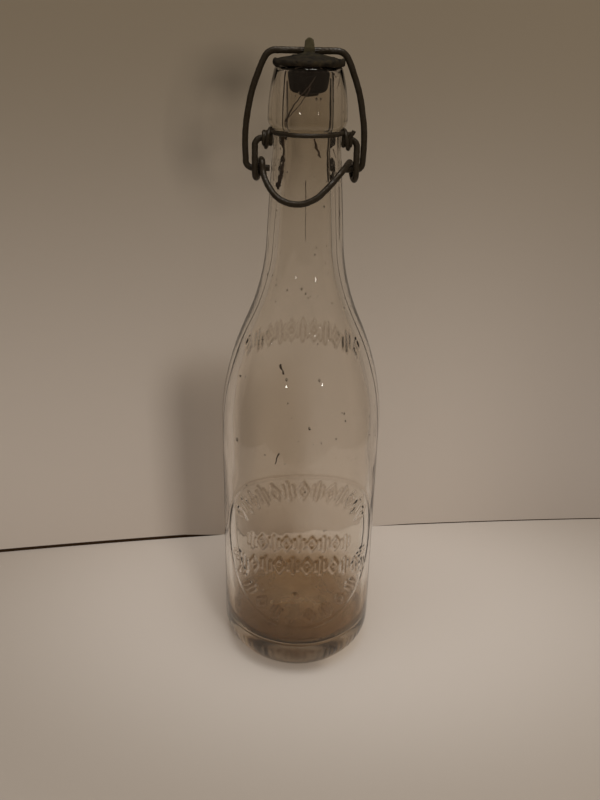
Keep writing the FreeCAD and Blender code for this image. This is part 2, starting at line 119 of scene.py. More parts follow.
neck_turn = tangent_bearing(neck_top, hollow_centre, HOLLOW_ROUND) % (2 * math.pi)
side_centre = (BLOB_RADIUS - BLOB_SIDE_ROUND, BLOB_WIDEST)
side_rise = BOTTLE_HEIGHT - LIP_OUTER_ROUND - BLOB_WIDEST
side_turn = math.asin(side_rise / (BLOB_SIDE_ROUND - LIP_OUTER_ROUND))
lip_centre = (side_centre[0] + (BLOB_SIDE_ROUND - LIP_OUTER_ROUND) * math.cos(side_turn),
              BLOB_WIDEST + side_rise)

outside = [(0, PUSH_UP)]
outside += arc(dome_centre, dome_radius, math.pi / 2, bearing(dome_centre, (ring_inner, 0)))
outside += run(outside[-1], (foot_centre[0], 0), 1.0)
outside += arc(foot_centre, FOOT_ROUND, -math.pi / 2, foot_turn, 0.5)
outside += arc(heel_centre, HEEL_ROUND, foot_turn, 0, 0.7)
outside += run(outside[-1], (BODY_RADIUS, SHOULDER_START), MARKED_PITCH)
outside += arc(crown_centre, SHOULDER_ROUND, 0, crown_turn, 0.7)
outside += arc(hollow_centre, HOLLOW_ROUND, crown_turn + math.pi, neck_turn, 0.9)
outside += run(outside[-1], neck_top, 1.2)
outside += arc(under_centre, BLOB_UNDER_ROUND, under_turn, 0, 0.6)
outside += arc(side_centre, BLOB_SIDE_ROUND, 0, side_turn, 1.0)
outside += arc(lip_centre, LIP_OUTER_ROUND, side_turn, math.pi / 2, 0.3)

inner_lip = (BORE_RADIUS + LIP_INNER_ROUND, BOTTLE_HEIGHT - LIP_INNER_ROUND)
inner_turn = tangent_bearing((BORE_RADIUS, BORE_END), hollow_centre, HOLLOW_ROUND + WALL) % (2 * math.pi)
floor_centre = (0, FLOOR_MIDDLE - FLOOR_ROUND)
low_x = BODY_RADIUS - WALL - INNER_HEEL_ROUND
low_centre = (low_x, floor_centre[1] + math.sqrt((FLOOR_ROUND + INNER_HEEL_ROUND) ** 2 - low_x ** 2))
floor_turn = bearing(floor_centre, low_centre)

inside = [(inner_lip[0], BOTTLE_HEIGHT)]
inside += arc(inner_lip, LIP_INNER_ROUND, math.pi / 2, math.pi, 0.5)
inside += run(inside[-1], (BORE_RADIUS, BORE_END), 1.5)
inside += arc(hollow_centre, HOLLOW_ROUND + WALL, inner_turn, crown_turn + math.pi)
inside += arc(crown_centre, SHOULDER_ROUND - WALL, crown_turn, 0)
inside += run(inside[-1], (BODY_RADIUS - WALL, low_centre[1]))
inside += arc(low_centre, INNER_HEEL_ROUND, 0, floor_turn - math.pi, 1.0)
inside += arc(floor_centre, FLOOR_ROUND, floor_turn, math.pi / 2)
outline = outside + inside

# Columns by their bearing from the front: close enough for the marks there, and five at each mould seam.
FRONT_REACH = 71.0
SEAM_WIDTH = 1.0
front_columns = np.arange(-FRONT_REACH, FRONT_REACH + 0.5, 1.0)
seam_columns = [side + step * SEAM_WIDTH for side in (-90, 90) for step in (-2, -1, 0, 1, 2)]
side_columns = [side * turn for side in (-1, 1) for turn in (74, 78, 82, 85.5, 94.5, 98)]
back_columns = np.arange(102, 259, 4.0)
columns = np.radians(sorted([*front_columns, *seam_columns, *side_columns, *back_columns]))

radii = np.array([point[0] for point in outline])
heights = np.array([point[1] for point in outline])
across = columns[None, :] * radii[:, None]
up = np.repeat(heights[:, None], len(columns), axis=1)
angle = np.degrees(np.repeat(columns[None, :], len(outline), axis=0))

# The raised marks, as heights above the plain glass.
RELIEF = 0.42
RELIEF_EDGE = 0.42
relief = np.zeros(across.shape)
marked = np.zeros(across.shape, dtype=bool)
marked[:len(outside)] = up[:len(outside)] > HEEL_TOP


def soft_step(reach):
    """0 outside a mark and 1 well inside it, with a rounded shoulder between."""
    share = np.clip(reach / RELIEF_EDGE, 0, 1)
    return share * share * (3 - 2 * share)


def raise_by(reach, height=RELIEF):
    """Raises the marked part of the outside. Reach is the depth inside the mark's outline."""
    relief[marked] = np.maximum(relief[marked], height * soft_step(reach)[marked])


def turned_frame(middle, height, lean):
    """Coordinates about a mark's middle on the unrolled glass, leaned clockwise."""
    x = across - middle
    y = up - height
    tilt = math.radians(lean)
    return x * math.cos(tilt) - y * math.sin(tilt), x * math.sin(tilt) + y * math.cos(tilt)


def bar(middle, height, lean, tall, wide=0.95):
    """An upright bar with round ends."""
    x, y = turned_frame(middle, height, lean)
    past = np.maximum(np.abs(y) - (tall - wide) / 2, 0)
    raise_by(wide / 2 - np.hypot(x, past) + RELIEF_EDGE / 2)


PELLET_RADIUS = 0.55


def open_lozenge(middle, height, lean, tall, wide=4.6, line=0.85):
    """The outline of a lozenge with a pellet in it."""
    x, y = turned_frame(middle, height, lean)
    slope = math.hypot(tall / 2, wide / 2)
    depth = (1 - np.abs(x) / (wide / 2) - np.abs(y) / (tall / 2)) * (tall / 2) * (wide / 2) / slope
    raise_by(line / 2 - np.abs(depth - line / 2) + RELIEF_EDGE / 2)
    raise_by(PELLET_RADIUS - np.hypot(x, y) + RELIEF_EDGE / 2)


SHEAF_STEP = 1.75
SHORT_BAR = 0.62


def sheaf(middle, height, lean, tall):
    """Three bars side by side, the middle one taller."""
    tilt = math.radians(lean)
    for step, share in ((-SHEAF_STEP, SHORT_BAR), (0, 1), (SHEAF_STEP, SHORT_BAR)):
        bar(middle + step * math.cos(tilt), height - step * math.sin(tilt), lean, tall * share)


def ornament(number, middle, height, lean, tall):
    """Lozenges and sheaves by turns."""
    if number % 2:
        sheaf(middle, height, lean, tall)
    else:
        open_lozenge(middle, height, lean, tall)


# A row along the shoulder, bowed down at its ends and cut deeper than the rest. The profile's first rows,
# on the underside, are left out when a radius is looked up by its height.
UNDERSIDE_ROWS = 20
SHOULDER_MARKS = 11
SHOULDER_REACH = 56.0
SHOULDER_MIDDLE = 149.8
SHOULDER_BOW = 8.5
SHOULDER_TALL = 7.0
SHOULDER_CUT = 1.7
SHOULDER_FOOT = 138.0


def glass_radius(height):
    """The radius of the outside at a height, above the heel."""
    side = slice(UNDERSIDE_ROWS, len(outside))
    return float(np.interp(height, heights[side], radii[side]))


for number in range(SHOULDER_MARKS):
    share = 2 * number / (SHOULDER_MARKS - 1) - 1
    mark_height = SHOULDER_MIDDLE - SHOULDER_BOW * share ** 2
    around = math.radians(share * SHOULDER_REACH) * glass_radius(mark_height)
    ornament(number, around, mark_height, 0, SHOULDER_TALL)
relief[up > SHOULDER_FOOT] *= SHOULDER_CUT

# The plate on the front: marks round the inside of its rim, two bowed rows across it, and a pellet.
PLATE_RADIUS = 35.6
PLATE_MIDDLE = (1.5, 61.0)
MARK_ARC = 29.5
UPPER_REACH = 64
UPPER_MARKS = 13
UPPER_TALL = 8.6
LOWER_LEANS = (-133, -119, -105, 103, 117, 131, -147, 145, -161, 159, 173)
LOWER_STEP = 14
LOWER_TALL = 7.4
PLATE_ROWS = ((66.7, 4.4, -19.0, 20.0, 9, 7.4), (56.4, 5.2, -23.5, 31.0, 11, 8.2))
ROW_REACH = 24
PELLET_PLACE = (-0.7, 42.1)
LARGE_PELLET = 1.3
PLATE_RIM_HALF = 0.6
PLATE_RIM_RELIEF = 0.2


def plate_mark(number, lean, tall):
    """A mark inside the plate's rim, pointing out from its middle."""
    ornament(number, PLATE_MIDDLE[0] + MARK_ARC * math.sin(math.radians(lean)),
             PLATE_MIDDLE[1] + MARK_ARC * math.cos(math.radians(lean)), lean, tall)


for number in range(UPPER_MARKS):
    plate_mark(number, -UPPER_REACH + number * 2 * UPPER_REACH / (UPPER_MARKS - 1), UPPER_TALL)
for lean in LOWER_LEANS:
    plate_mark(abs(lean) // LOWER_STEP, lean, LOWER_TALL)
for row_height, drop, first, last, count, tall in PLATE_ROWS:
    for number in range(count):
        place = first + number * (last - first) / (count - 1)
        ornament(number + 1, place, row_height - drop * (place / ROW_REACH) ** 2, 0, tall)
raise_by(LARGE_PELLET - np.hypot(across - PELLET_PLACE[0], up - PELLET_PLACE[1]))

# The mould opens sideways, so its marks are cut shallower towards the seams. The plate's rim is not.
DRAFT_START = 30.0
DRAFT_END = 58.0
DRAFT_LOSS = 0.5
draft = 1 - DRAFT_LOSS * np.clip((np.abs(angle) - DRAFT_START) / (DRAFT_END - DRAFT_START), 0, 1)
relief *= draft
off_rim = np.abs(np.hypot(across - PLATE_MIDDLE[0], up - PLATE_MIDDLE[1]) - PLATE_RADIUS)
raise_by(PLATE_RIM_HALF - off_rim, PLATE_RIM_RELIEF)

# Grime round the foot of each mark, and less on top of it, together with painted shade that darkens the
# marks' edges.
CLEAN_TOP = 0.65
full_relief = RELIEF * draft * np.where(up > SHOULDER_FOOT, SHOULDER_CUT, 1)
mark_share = np.clip(relief / full_relief, 0, 1)
beside_mark = mark_share.copy()
for axis in (0, 1):
    for shift in (-1, 1):
        beside_mark = np.maximum(beside_mark, np.roll(mark_share, shift, axis=axis))
grime_and_shade = np.clip(beside_mark - CLEAN_TOP * mark_share, 0, 1)
grime_and_shade[len(outside):] = 0

# Short ribs round the heel, and the two seams of the mould up to below the finish.
HEEL_RIBS = 58
RIB_RELIEF = 0.14
RIB_MIDDLE = 9.4
RIB_HALF = 4.0
RIB_FADE = 1.2
RIB_GAP = 0.45
rib_phase = np.abs((angle * HEEL_RIBS / 360) % 1 - 0.5) * 2
heel_band = np.clip((RIB_HALF - np.abs(up - RIB_MIDDLE)) / RIB_FADE, 0, 1)
rib = RIB_RELIEF * soft_step((rib_phase - RIB_GAP) * RELIEF_EDGE * 2) * heel_band
relief[:len(outside)] = np.maximum(relief[:len(outside)], rib[:len(outside)])
SEAM_HEIGHT = 0.16
SEAM_TOP = 205.0
bearings = (angle + 180) % 360 - 180
for side in (-90, 90):
    seam = SEAM_HEIGHT * np.clip(1 - np.abs(bearings - side) / (SEAM_WIDTH * 1.2), 0, 1)
    raise_seam = marked & (up < SEAM_TOP)
    relief[raise_seam] = np.maximum(relief[raise_seam], seam[raise_seam])

# The outside is nearly true to the mould. The inside wanders by up to a quarter of a millimetre, in waves
# that are stretched upwards.
outward = np.gradient(np.array(outline), axis=0)
outward = np.stack([outward[:, 1], -outward[:, 0]], axis=1)
outward /= np.linalg.norm(outward, axis=1)[:, None]
MOULD_WAVER = 0.05
BREATH_WAVER = 0.2
BORE_WAVER = 0.16


def waver(row, column):
    """How far the glass strays from its true profile there. The divisors are the waves' sizes."""
    r, z = outline[row]
    x = r * math.sin(columns[column])
    y = -r * math.cos(columns[column])
    if row < len(outside):
        fade = min(1.0, z / 12)
        return MOULD_WAVER * fade * noise.noise(Vector((x, y, z * 0.6)) / 9)
    if z > BORE_END - 20:
        fade = min(1.0, max(0.0, (BOTTLE_HEIGHT - 2 - z) / 10))
        return BORE_WAVER * fade * noise.noise(Vector((x / 2.6, y / 2.6, z / 16)))
    broad = noise.noise(Vector((x / 17, y / 17, z / 26)) + Vector((3, 1, 7)))
    return BREATH_WAVER * (broad + 0.35 * noise.noise(Vector((x / 6, y / 6, z / 12))))


def join_rings(mesh, rings, inward=False):
    """Faces all the way round between each ring and the next. A ring may be one point, given many times."""
    for lower, upper in zip(rings, rings[1:]):
        for column in range(len(lower)):
            beside = (column + 1) % len(lower)
            corners = [lower[column], lower[beside], upper[beside], upper[column]]
            if inward:
                corners = [corners[0], *corners[:0:-1]]
            corners = list(dict.fromkeys(corners))
            if len(corners) > 2:
                mesh.faces.new(corners)


def make_piece(name, mesh):
    """A smooth-shaded object from the mesh, under the name it keeps."""
    for face in mesh.faces:
        face.smooth = True
    data = bpy.data.meshes.new(name)
    mesh.to_mesh(data)
    mesh.free()
    piece = bpy.data.objects.new(name, data)
    bpy.context.scene.collection.objects.link(piece)
    return piece


mesh = bmesh.new()
# Each point keeps its share of the grime and painted shade round the marks.
grime_and_shade_layer = mesh.verts.layers.float.new("mark_grime_and_shade")
rings = []
for row, (r, z) in enumerate(outline):
    if r < 1e-6:
        rings.append([mesh.verts.new((0, 0, z * MM))] * len(columns))
        continue
    ring = []
    for column, turn in enumerate(columns):
        lift = relief[row, column] + waver(row, column)
        far = r + lift * outward[row, 0]
        tall = max(0.0, z + lift * outward[row, 1])
        ring.append(mesh.verts.new((far * math.sin(turn) * MM, -far * math.cos(turn) * MM, tall * MM)))
        ring[-1][grime_and_shade_layer] = float(grime_and_shade[row, column])
    rings.append(ring)
join_rings(mesh, rings)

# Seeds: small bubbles that the pot left in the metal, drawn out upwards as the bottle was blown.
chance = random.Random(41)
SEED_SIDES = 8
SEED_LEVELS = 5
SEED_DRAW = 1.6


def add_seed(turn, height, size, depth):
    """A bubble in the wall, a closed skin that faces its own inside."""
    radius = glass_radius(height) - depth
    middle = Vector((radius * math.sin(turn), -radius * math.cos(turn), height))
    levels = []
    for level in range(1, SEED_LEVELS):
        tilt = math.pi * level / SEED_LEVELS
        levels.append([mesh.verts.new((middle + Vector((
            size * math.sin(tilt) * math.cos(spin * 2 * math.pi / SEED_SIDES),
            size * math.sin(tilt) * math.sin(spin * 2 * math.pi / SEED_SIDES),
            SEED_DRAW * size * math.cos(tilt)))) * MM) for spin in range(SEED_SIDES)])
    top = mesh.verts.new((middle + Vector((0, 0, SEED_DRAW * size))) * MM)
    foot = mesh.verts.new((middle - Vector((0, 0, SEED_DRAW * size))) * MM)
    for spin in range(SEED_SIDES):
        beside = (spin + 1) % SEED_SIDES
        mesh.faces.new([top, levels[0][beside], levels[0][spin]])
        mesh.faces.new([foot, levels[-1][spin], levels[-1][beside]])
        for upper, lower in zip(levels, levels[1:]):
            mesh.faces.new([upper[spin], upper[beside], lower[beside], lower[spin]])


SEEDS = 90
for _ in range(SEEDS):
    turn = chance.uniform(-math.pi, math.pi)
    height = chance.choice((chance.uniform(22, 150), chance.uniform(150, 228)))
    size = chance.uniform(0.1, 0.3)
    add_seed(turn, height, size, chance.uniform(1.0, 2.4))
# The large ones that show on the front, by bearing, height and size.
SEEN_SEEDS = ((-51.0, 105.1, 0.55), (-12.1, 132.6, 0.4), (14.1, 132.5, 0.4), (-14.9, 227.5, 0.35),
              (12.5, 225.7, 0.35), (6.0, 115.6, 0.35), (33.5, 116.5, 0.3), (25.6, 110.4, 0.25),
              (-3.0, 163.0, 0.35), (2.5, 161.5, 0.3))
SEEN_DEPTH = 1.3
for turn, height, size in SEEN_SEEDS:
    add_seed(math.radians(turn), height, size, SEEN_DEPTH)
bottle_glass = make_piece("bottle_glass", mesh)


def linear(hex_colour):
    """An sRGB hex colour as linear red, green, blue and full alpha."""
    channels = [int(hex_colour[start:start + 2], 16) / 255 for start in (1, 3, 5)]
    return [c / 12.92 if c <= 0.04045 else ((c + 0.055) / 1.055) ** 2.4 for c in channels] + [1.0]


def add_node(tree, kind, links=None, **settings):
    """A node with values or other nodes' outputs on its inputs, and with its own settings.

    A colour mix takes its two colours on inputs 6 and 7 and gives the mixed one on output 2.
    """
    made = tree.nodes.new("ShaderNode" + kind)
    for name, value in settings.items():
        setattr(made, name, value)
    for name, value in (links or {}).items():
        if isinstance(value, bpy.types.NodeSocket):
            tree.links.new(value, made.inputs[name])
        else:
            made.inputs[name].default_value = value
    return made


def new_material(name):
    """A material and its node tree, emptied."""
    material = bpy.data.materials.new(name)
    material.use_nodes = True
    material.node_tree.nodes.clear()
    return material, material.node_tree


SMOOTH = {"interpolation_type": "SMOOTHSTEP"}
RGBA = {"data_type": "RGBA"}

# Old blown soda-lime glass: clear with a faint smoky warmth that deepens in the thick base, an orange-peel
# skin from the iron mould, and a little dulling where the bottle rubbed its neighbours in the crate.
blown_glass, tree = new_material("old_blown_soda_lime_glass")
place = add_node(tree, "TexCoord").outputs["Object"]
height = add_node(tree, "SeparateXYZ", {"Vector": place}).outputs["Z"]
PEEL = 2.6
peel = add_node(tree, "TexNoise", {"Vector": place, "Scale": 1 / (PEEL * MM), "Detail": 1.0})
peel_bump = add_node(tree, "Bump", {"Height": peel.outputs["Fac"], "Strength": 0.25, "Distance": 0.04 * MM})
RUB = 7.0
rub = add_node(tree, "TexNoise", {"Vector": place, "Scale": 1 / (RUB * MM), "Detail": 4.0})
dulling = add_node(tree, "MapRange",
                   {"Value": rub.outputs["Fac"], "From Min": 0.5, "From Max": 0.75,
                    "To Min": 0.015, "To Max": 0.09})

# It is scuffed on the foot that it was pushed about on, most of all on the underside.
SCUFF_FULL = 2.5
SCUFF_END = 9.0
UNDERSIDE_FULL = 17.0
UNDERSIDE_END = 23.0
scuff = add_node(tree, "MapRange",
                 {"Value": height, "From Min": SCUFF_FULL * MM, "From Max": SCUFF_END * MM,
                  "To Min": 0.05, "To Max": 0.0}, **SMOOTH)
flat_place = add_node(tree, "VectorMath", {0: place, 1: (1, 1, 0)}, operation="MULTIPLY")
off_axis = add_node(tree, "VectorMath", {0: flat_place.outputs["Vector"]}, operation="LENGTH")
underside = add_node(tree, "MapRange",
                     {"Value": off_axis.outputs["Value"], "From Min": UNDERSIDE_FULL * MM,
                      "From Max": UNDERSIDE_END * MM, "To Min": 4.0, "To Max": 1.0}, **SMOOTH)
rubbed = add_node(tree, "Math",
                  {0: scuff.outputs["Result"], 1: underside.outputs["Result"]}, operation="MULTIPLY")
rough = add_node(tree, "Math", {0: dulling.outputs["Result"], 1: rubbed.outputs[0]}, operation="ADD")

# It is smokier towards the top and browner towards the foot, and round the marks it is darker brown with
# grime and painted shade.
SMOKE_START = 178.0
SMOKE_FULL = 222.0
FOOT_FULL = 4.0
FOOT_END = 24.0
near_top = add_node(tree, "MapRange",
                    {"Value": height, "From Min": SMOKE_START * MM, "From Max": SMOKE_FULL * MM}, **SMOOTH)
near_foot = add_node(tree, "MapRange",
                     {"Value": height, "From Min": FOOT_FULL * MM, "From Max": FOOT_END * MM,
                      "To Min": 1.0, "To Max": 0.0}, **SMOOTH)
smoke = add_node(tree, "Mix",
                 {"Factor": near_top.outputs["Result"], 6: linear("#fbf8f3"), 7: linear("#e7e1d7")}, **RGBA)
tint = add_node(tree, "Mix",
                {"Factor": near_foot.outputs["Result"], 6: smoke.outputs[2], 7: linear("#c4ad8b")}, **RGBA)
# Round the marks the tint is darkened brown: grime, and painted shade along their edges.
settled_grime_and_shade = add_node(tree, "Attribute", attribute_name="mark_grime_and_shade")
grime_and_shade_share = add_node(tree, "Math", {0: settled_grime_and_shade.outputs["Fac"], 1: 0.6}, operation="MULTIPLY")
grimy_and_shaded = add_node(tree, "Mix",
                 {"Factor": grime_and_shade_share.outputs[0], 6: tint.outputs[2], 7: linear("#a08763")},
                 data_type="RGBA", blend_type="MULTIPLY")
glass_skin = add_node(tree, "BsdfPrincipled",
                      {"Base Color": grimy_and_shaded.outputs[2], "IOR": 1.52, "Transmission Weight": 1.0,
                       "Roughness": rough.outputs[0], "Normal": peel_bump.outputs["Normal"]})
thick = add_node(tree, "VolumeAbsorption", {"Color": linear("#dfd5c2"), "Density": 9.0})

# The shade that it throws: darkest through its edges, palest where the body gathers the front lamp's light,
# and none above the body, where the card shows no shade.
LAMP_ACROSS = (0.917, 0.399, 0)
FOCUS_START = -5.0
FOCUS_FULL = 6.0
SHADE_FULL = 96.0
SHADE_END = 126.0
grazing = add_node(tree, "LayerWeight", {"Blend": 0.5}).outputs["Facing"]
lens_edge = add_node(tree, "MapRange", {"Value": grazing, "From Min": 0.12, "From Max": 0.62}, **SMOOTH)
body_shade = add_node(tree, "Mix",
                      {"Factor": lens_edge.outputs["Result"], 6: linear("#d2cdc5"), 7: linear("#a9a196")},
                      **RGBA)
from_lamp = add_node(tree, "VectorMath", {0: place, 1: LAMP_ACROSS}, operation="DOT_PRODUCT")
focus = add_node(tree, "MapRange",
                 {"Value": from_lamp.outputs["Value"], "From Min": FOCUS_START * MM,
                  "From Max": FOCUS_FULL * MM}, **SMOOTH)
lens_shade = add_node(tree, "Mix",
                      {"Factor": focus.outputs["Result"], 6: body_shade.outputs[2], 7: linear("#f1eee9")},
                      **RGBA)
shade_end = add_node(tree, "MapRange",
                     {"Value": height, "From Min": SHADE_FULL * MM, "From Max": SHADE_END * MM}, **SMOOTH)
shade_tone = add_node(tree, "Mix",
                      {"Factor": shade_end.outputs["Result"], 6: lens_shade.outputs[2], 7: linear("#ffffff")},
                      **RGBA)
shade = add_node(tree, "BsdfTransparent", {"Color": shade_tone.outputs[2]})
path = add_node(tree, "LightPath")
for_lamps = add_node(tree, "MixShader",
                     {0: path.outputs["Is Shadow Ray"], 1: glass_skin.outputs[0], 2: shade.outputs[0]})
add_node(tree, "OutputMaterial", {"Surface": for_lamps.outputs[0], "Volume": thick.outputs[0]})
bottle_glass.data.materials.append(blown_glass)
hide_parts("bottle")
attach(bottle_glass, "glass")

# What dried in the bottle.
# A brown film of old contents and dust lies loose on the floor inside and thins up the lower wall. There it
# has keyed to the glass, so it is just under the glass's inner skin and also shows where the skin mirrors.
FILM_STRAY = BREATH_WAVER * 1.35 + 0.05
FILM_LOOSE_END = 14.0
FILM_KEYED_START = 19.0
FILM_TOP = 44.0
FILM_COLUMNS = 96
film_rows = [(r, z) for r, z in reversed(inside) if z < FILM_TOP]
film_normals = [outward[len(outline) - 1 - index] for index in range(len(film_rows))]
mesh = bmesh.new()
rings = []
for (r, z), normal in zip(film_rows, film_normals):
    if r < 1e-6:
        rings.append([mesh.verts.new((0, 0, (z + FILM_STRAY) * MM))] * FILM_COLUMNS)
        continue
    ring = []
    stray = FILM_STRAY * float(np.interp(z, (FILM_LOOSE_END, FILM_KEYED_START), (1, -1)))
    for column in range(FILM_COLUMNS):
        turn = 2 * math.pi * column / FILM_COLUMNS
        far = r + stray * normal[0]
        ring.append(mesh.verts.new((far * math.sin(turn) * MM, -far * math.cos(turn) * MM,
                                    (z + stray * normal[1]) * MM)))
    rings.append(ring)
join_rings(mesh, rings, inward=True)
dried_film = make_piece("dried_film", mesh)

# A thin matt silt: light passes it browner, and it is patchy where it dried in rings and ran down.
CLIMB_START = 14.0
CLIMB_END = 40.0
SILT_DEEP = 13.0
SILT_THIN = 19.0
dried_silt, tree = new_material("dried_brown_silt")
place = add_node(tree, "TexCoord").outputs["Object"]
height = add_node(tree, "SeparateXYZ", {"Vector": place}).outputs["Z"]
climb = add_node(tree, "MapRange",
                 {"Value": height, "From Min": CLIMB_START * MM, "From Max": CLIMB_END * MM,
                  "To Min": 1.0, "To Max": 0.0}, **SMOOTH)
BLOTCH = 9.0
blotch = add_node(tree, "TexNoise",
                  {"Vector": place, "Scale": 1 / (BLOTCH * MM), "Detail": 5.0, "Roughness": 0.62})
patchy = add_node(tree, "MapRange",
                  {"Value": blotch.outputs["Fac"], "From Min": 0.3, "From Max": 0.7,
                   "To Min": 0.55, "To Max": 1.0})
cover = add_node(tree, "Math",
                 {0: climb.outputs["Result"], 1: patchy.outputs["Result"]}, operation="MULTIPLY")
stain = add_node(tree, "Mix",
                 {"Factor": cover.outputs[0], 6: linear("#ffffff"), 7: linear("#ceb48e")}, **RGBA)
clear_part = add_node(tree, "BsdfTransparent", {"Color": stain.outputs[2]})
silt_part = add_node(tree, "BsdfDiffuse", {"Color": linear("#83694a"), "Roughness": 1.0})
settled = add_node(tree, "MapRange",
                   {"Value": height, "From Min": SILT_DEEP * MM, "From Max": SILT_THIN * MM,
                    "To Min": 0.85, "To Max": 0.3}, **SMOOTH)
silt_share = add_node(tree, "Math",
                      {0: cover.outputs[0], 1: settled.outputs["Result"]}, operation="MULTIPLY")
film_mix = add_node(tree, "MixShader",
                    {0: silt_share.outputs[0], 1: clear_part.outputs[0], 2: silt_part.outputs[0]})
add_node(tree, "OutputMaterial", {"Surface": film_mix.outputs[0]})
dried_film.data.materials.append(dried_silt)
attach(dried_film, "glass")

# Dirt on the glass.
# Rust that ran down from the neck wire, stain along the bore and in the old fold of the blob, and hard
# flecks. All of it dried on, a few hundredths of a millimetre thick.
LIFT = 0.05
PLAIN_START = 20.0


def glass_point(turn, height, rows, lift):
    """A point by bearing and height on the outside or the inside of the glass, lifted off it."""
    ordered = sorted((z, r) for r, z in rows if z > PLAIN_START)
    radius = float(np.interp(height, [z for z, r in ordered], [r for z, r in ordered])) + lift
    return Vector((radius * math.sin(math.radians(turn)), -radius * math.cos(math.radians(turn)), height))


STREAK_PITCH = 0.6


def add_streak(mesh, trail, rows, lift):
    """A thin uneven ribbon of dirt through places given as (bearing, height, width)."""
    spots = []
    for here, there in zip(trail, trail[1:]):
        steps = max(2, math.ceil(abs(there[1] - here[1]) / STREAK_PITCH))
        for step in range(steps):
            share = step / steps
            spots.append([start + (end - start) * share for start, end in zip(here, there)])
    spots.append(trail[-1])
    pairs = []
    for turn, height, wide in spots:
        stray = noise.noise(Vector((turn, height * 0.7, wide * 9))) * wide * 0.7
        half = wide * (0.5 + 0.3 * noise.noise(Vector((height * 1.3, turn, 4))))
        radius = glass_point(turn, height, rows, lift).xy.length
        spread = math.degrees(half / radius)
        shift = math.degrees(stray / radius)
        pairs.append([mesh.verts.new(glass_point(turn + shift + side * spread, height, rows, edge) * MM)
                      for side, edge in ((-1, lift), (0, lift * 3), (1, lift))])
    for upper, lower in zip(pairs, pairs[1:]):
        for side in (0, 1):
            mesh.faces.new([upper[side], upper[side + 1], lower[side + 1], lower[side]])


FLECK_SIDES = 9
FLECK_RISE = 0.35
FLECK_STRETCH = 1.4


def add_fleck(mesh, turn, height, size, lift=0.04):
    """A low crumb of dirt with a ragged edge, on the outside."""
    middle = mesh.verts.new(glass_point(turn, height, outside, size * FLECK_RISE + lift) * MM)
    edge = []
    for side in range(FLECK_SIDES):
        spin = side * 2 * math.pi / FLECK_SIDES
        reach = size / 2 * chance.uniform(0.6, 1.25)
        aside = math.degrees(reach * math.cos(spin) / BODY_RADIUS) * FLECK_STRETCH
        level = height + reach * math.sin(spin)
        edge.append(mesh.verts.new(glass_point(turn + aside, level, outside, lift) * MM))
    for side in range(FLECK_SIDES):
        mesh.faces.new([middle, edge[side], edge[(side + 1) % FLECK_SIDES]])


# Trails by bearing, height and width, downwards from the neck wire or along a stain.
OUTSIDE_TRAILS = (
    ((-44.4, 213.4, 1.6), (-41, 209, 0.8), (-39.7, 205.8, 0.9), (-44, 201.5, 1.5), (-49.4, 197.6, 2.3),
     (-51.0, 196.2, 1.2)),
    ((11.1, 213.4, 0.4), (15, 211, 1.0), (20, 208.2, 0.8), (21.7, 207.4, 0.5)),
    ((47.1, 210.0, 0.4), (55.1, 206.9, 0.3)),
    ((-1.1, 200.0, 0.28), (0.2, 190, 0.16), (0.6, 180, 0.14)),
    ((65.1, 197.0, 0.3), (64.0, 188.0, 0.6), (62.5, 178.8, 0.3)),
    ((-32.0, 218.6, 0.9), (-20, 223.8, 0.5), (-10, 226.8, 0.4), (1, 229.6, 0.42), (11, 232.6, 0.25)),
    ((-29.0, 219.6, 0.5), (-13, 223.6, 0.35), (-3, 226.9, 0.35), (3, 229.2, 0.4)),
    ((46.0, 228.7, 0.2), (58.8, 232.4, 0.3)),
    ((-17.5, 138.2, 0.5), (-17.2, 136.6, 0.9), (-15.2, 136.0, 0.5), (-14.6, 134.8, 0.9)),
    ((-16.9, 100.9, 0.35), (-14.3, 105.7, 0.6)))
INSIDE_TRAILS = (((63, 231, 0.2), (61, 222, 0.35), (58, 214, 0.6), (57, 210, 0.3)),
                 ((57, 210, 0.4), (55, 204, 0.7), (56, 198.5, 0.3)),
                 ((-60, 230, 0.18), (-58, 220, 0.3), (-60, 212, 0.2)))
mesh = bmesh.new()
for trail in OUTSIDE_TRAILS:
    add_streak(mesh, trail, outside, LIFT)
for trail in INSIDE_TRAILS:
    add_streak(mesh, trail, inside, -LIFT * 4)
SEEN_FLECKS = ((-35.1, 158.0, 0.6), (36.2, 157.9, 0.7), (-55.1, 129.7, 0.9), (30.1, 120.3, 0.5),
               (-24.3, 103.8, 0.5), (57.2, 114.6, 0.5), (68.4, 104.1, 0.5), (29.2, 191.3, 0.8),
               (44.2, 233.2, 1.1), (47, 232.4, 0.7), (6.0, 115.6, 0.7), (-40, 88, 0.6), (4, 90, 0.6),
               (-20, 148, 0.4), (20, 72, 0.4))
for turn, height, size in SEEN_FLECKS:
    add_fleck(mesh, turn, height, size)
FINE_FLECKS = 46
for _ in range(FINE_FLECKS):
    add_fleck(mesh, chance.uniform(-180, 180), chance.uniform(24, 205), chance.uniform(0.15, 0.4))
glass_dirt = make_piece("glass_dirt", mesh)

